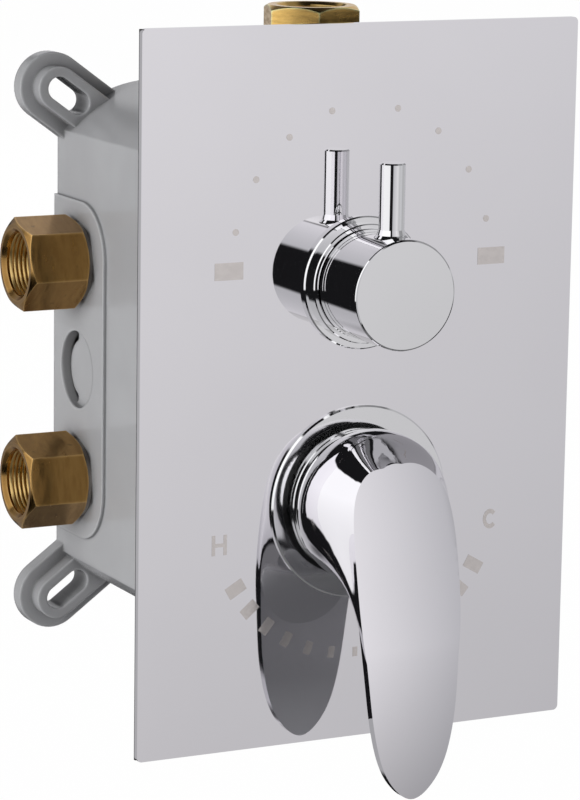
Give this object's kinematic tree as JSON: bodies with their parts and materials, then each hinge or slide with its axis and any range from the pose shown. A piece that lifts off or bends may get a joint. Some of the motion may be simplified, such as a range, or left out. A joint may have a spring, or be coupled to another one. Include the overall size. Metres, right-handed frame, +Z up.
{
  "type": "concealed valve body",
  "caption": "Concealed shower valve: grey wall box with slotted ears, brass threaded ports, mirror cover plate, diverter knob with a pin and a paddle mixer lever.",
  "frame": {"origin": "centre of the wall box's back face, which is fixed in the wall", "axes": "+X right seen from the room, +Y into the wall, +Z up"},
  "size_m": [0.173, 0.1059, 0.2216],
  "materials": {
    "mirror_plate": "polished",
    "chrome_trim": "polished",
    "brass": "machined",
    "grey_plastic": "satin",
    "white_plastic": "satin",
    "ceramic": "lapped",
    "black_rubber": "matte",
    "steel": "plain"
  },
  "bodies": {
    "fixed": {"body_screws": "steel", "cold_inlet": "brass", "connector_seals": "black_rubber", "cover_plate": "mirror_plate", "diverter_casing": "white_plastic", "diverter_fixed_disc": "ceramic", "diverter_nut": "brass", "diverter_seal": "black_rubber", "hot_inlet": "brass", "knob_ring": "chrome_trim", "knob_sleeve": "chrome_trim", "left_outlet": "brass", "lever_dome": "chrome_trim", "lever_ring": "chrome_trim", "mixer_casing": "white_plastic", "mixer_fixed_disc": "ceramic", "mixer_nut": "brass", "mixer_seal": "black_rubber", "plate_gasket": "black_rubber", "right_outlet": "brass", "top_outlet": "brass", "valve_body": "brass", "wall_box": "grey_plastic"},
    "diverter": {"diverter_spindle": "brass", "diverter_disc": "ceramic", "diverter_knob": "chrome_trim", "diverter_pin": "chrome_trim", "knob_screw": "steel"},
    "swivel": {"mixer_carrier": "white_plastic", "mixer_moving_disc": "ceramic", "stem_pin": "steel"},
    "lever": {"lever_stem": "brass", "lever_handle": "chrome_trim", "lever_screw": "steel"}
  },
  "joints": [
    {"name": "diverter_turn", "type": "hinge", "parent": "fixed", "child": "diverter", "pos_m": [0, -0.0685, 0.0239], "axis": [0, -1, 0], "range_deg": [-90, 90]},
    {"name": "lever_swivel", "type": "hinge", "parent": "fixed", "child": "swivel", "pos_m": [0, -0.06, -0.0406], "axis": [0, -1, 0], "range_deg": [-50, 50]},
    {"name": "lever_tilt", "type": "hinge", "parent": "swivel", "child": "lever", "pos_m": [0, -0.06, -0.0406], "axis": [-1, 0, 0], "range_deg": [0, 10]}
  ]
}
